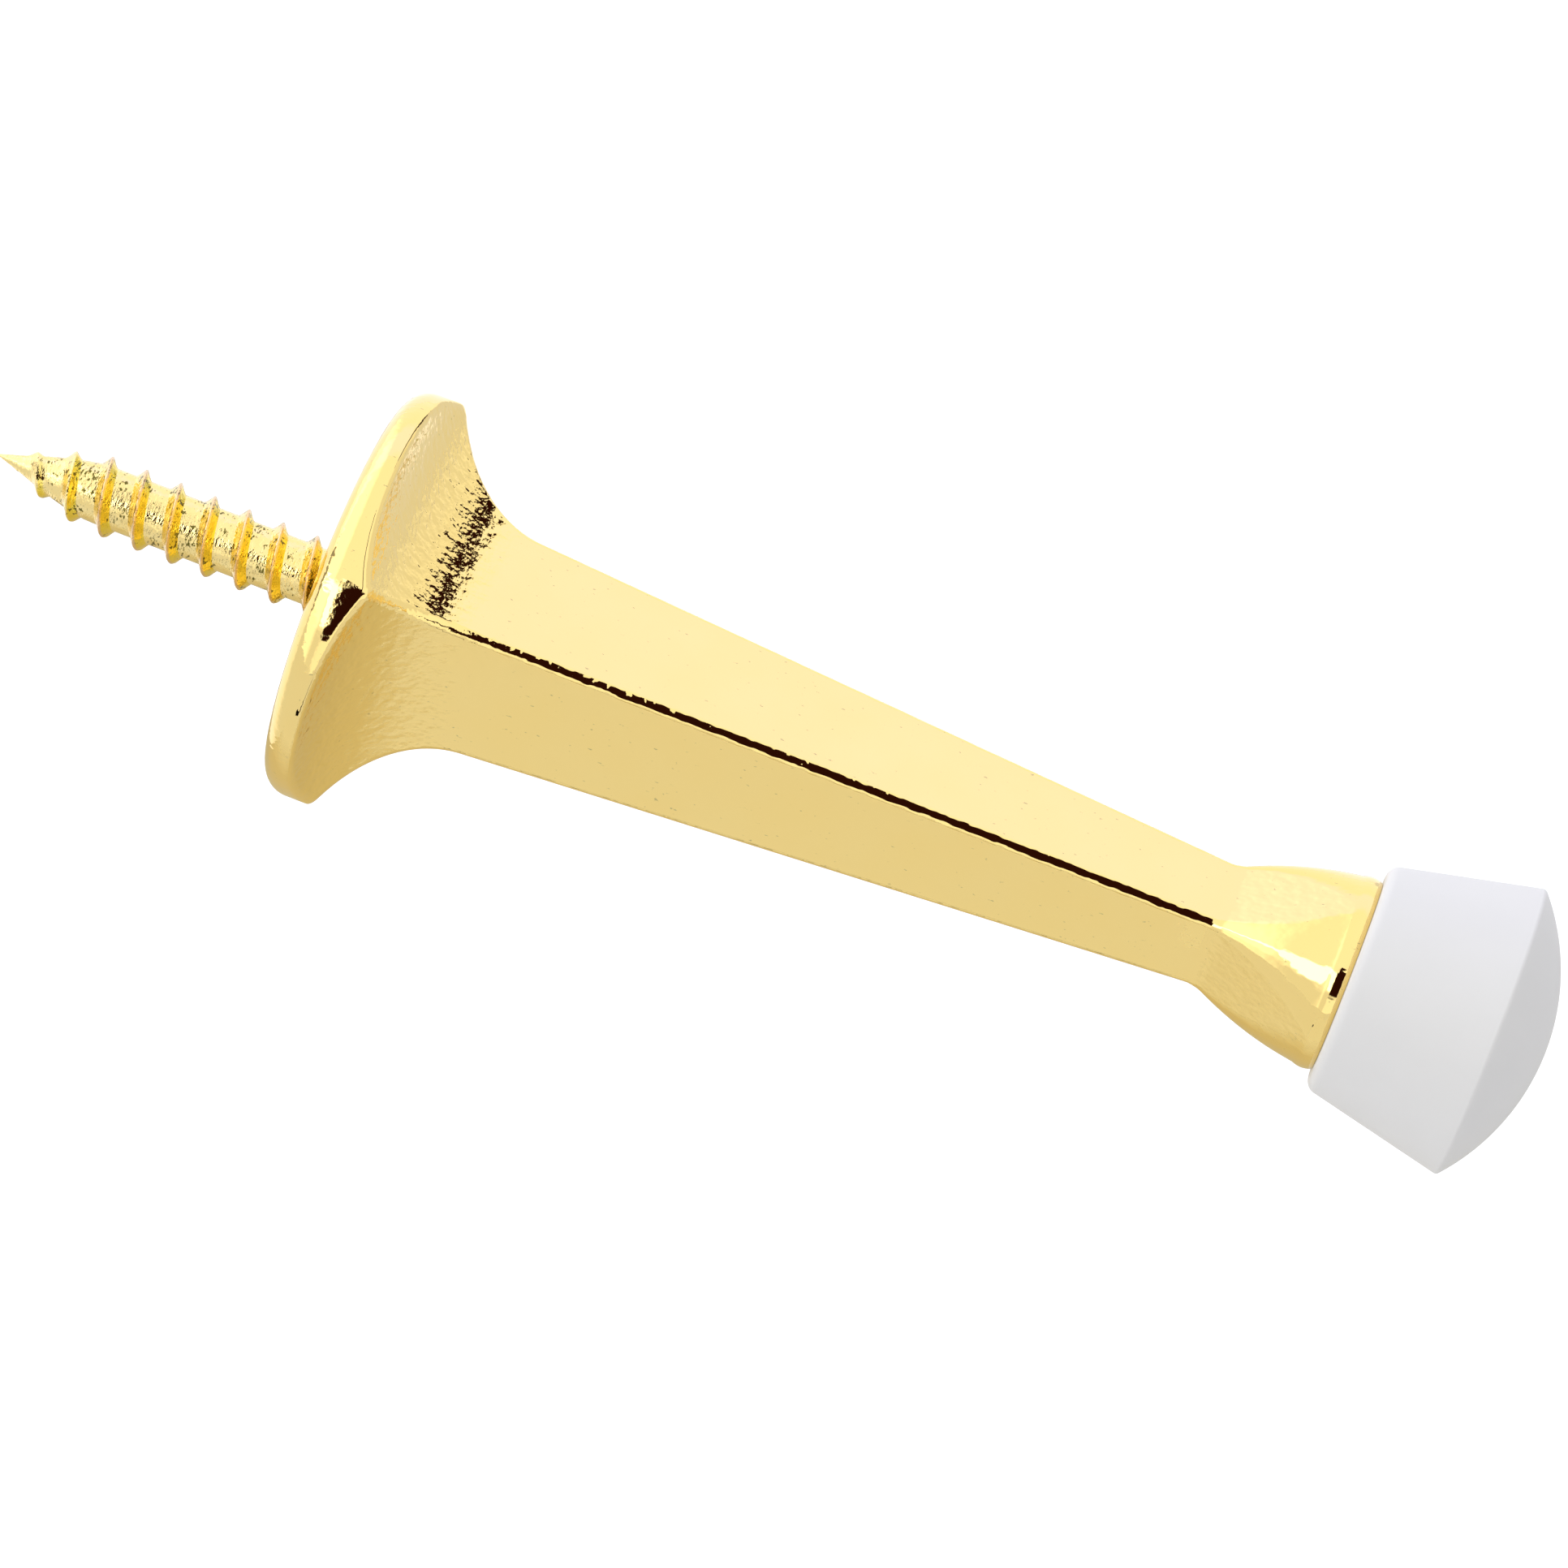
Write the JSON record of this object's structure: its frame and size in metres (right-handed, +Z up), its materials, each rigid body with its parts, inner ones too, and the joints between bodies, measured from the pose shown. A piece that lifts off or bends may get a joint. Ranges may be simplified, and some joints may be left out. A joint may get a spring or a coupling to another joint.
{
  "type": "rigid door stop",
  "caption": "Rigid wall door stop: a square tapering post with a round flared base on a wood screw, and a domed rubber tip.",
  "frame": {"origin": "centre of the post's flat back face, which rests on the wall", "axes": "+X out of the wall along the post to the tip, +Z up; the four flats of the square taper face +Y, -Y, +Z and -Z; the screw points to -X"},
  "size_m": [0.0981, 0.0254, 0.0254],
  "materials": {
    "post_plating": "bright polished brass plating over a casting, with slight ripple and fine pits",
    "screw_plating": "brass plating over an uneven steel surface with dark pits",
    "tip_rubber": "smooth matte white rubber"
  },
  "bodies": {
    "post": {"post_casting": "post_plating", "wall_screw": "screw_plating"},
    "tip": {"rubber_tip": "tip_rubber"}
  },
  "joints": [
    {"name": "tip_pull_off", "type": "slide", "parent": "post", "child": "tip", "axis": [1, 0, 0], "range_m": [0, 0.01]}
  ]
}
